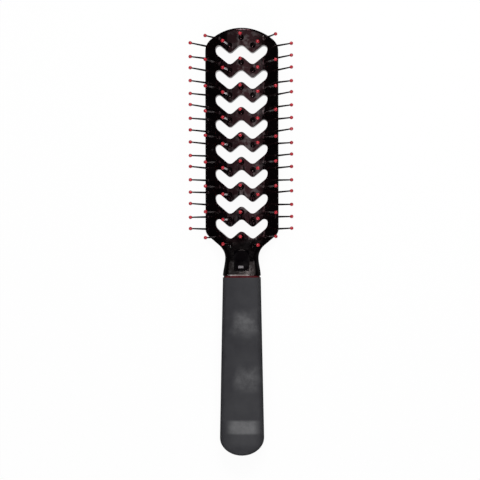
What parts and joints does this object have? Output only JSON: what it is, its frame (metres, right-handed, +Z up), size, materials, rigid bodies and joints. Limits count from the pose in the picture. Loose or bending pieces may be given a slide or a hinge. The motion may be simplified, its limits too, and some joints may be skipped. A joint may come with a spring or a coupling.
{
  "type": "vent brush",
  "caption": "Hair brush with an arched head open in zigzag vents, ball-tipped pins that fan out, and a straight grip, lying on its back.",
  "frame": {"origin": "centre of the brush's box, on the plane that its back rests on", "axes": "+X across the brush to the right seen from the pins, +Y along the brush to the tip of the head, +Z up out of the pins"},
  "size_m": [0.0556, 0.2284, 0.026],
  "materials": {
    "black_plastic": "gloss black moulding",
    "red_plastic": "gloss red",
    "grip_rubber": "satin dark grey rubber"
  },
  "bodies": {
    "root": {"frame": "black_plastic", "accent_ring": "red_plastic", "grip": "grip_rubber", "center_pins": "black_plastic", "inner_left_pins": "black_plastic", "inner_right_pins": "black_plastic", "outer_left_pins": "black_plastic", "outer_right_pins": "black_plastic", "side_left_pins": "black_plastic", "side_right_pins": "black_plastic", "center_tips": "red_plastic", "inner_left_tips": "red_plastic", "inner_right_tips": "red_plastic", "outer_left_tips": "red_plastic", "outer_right_tips": "red_plastic", "side_left_tips": "red_plastic", "side_right_tips": "red_plastic"}
  },
  "joints": []
}
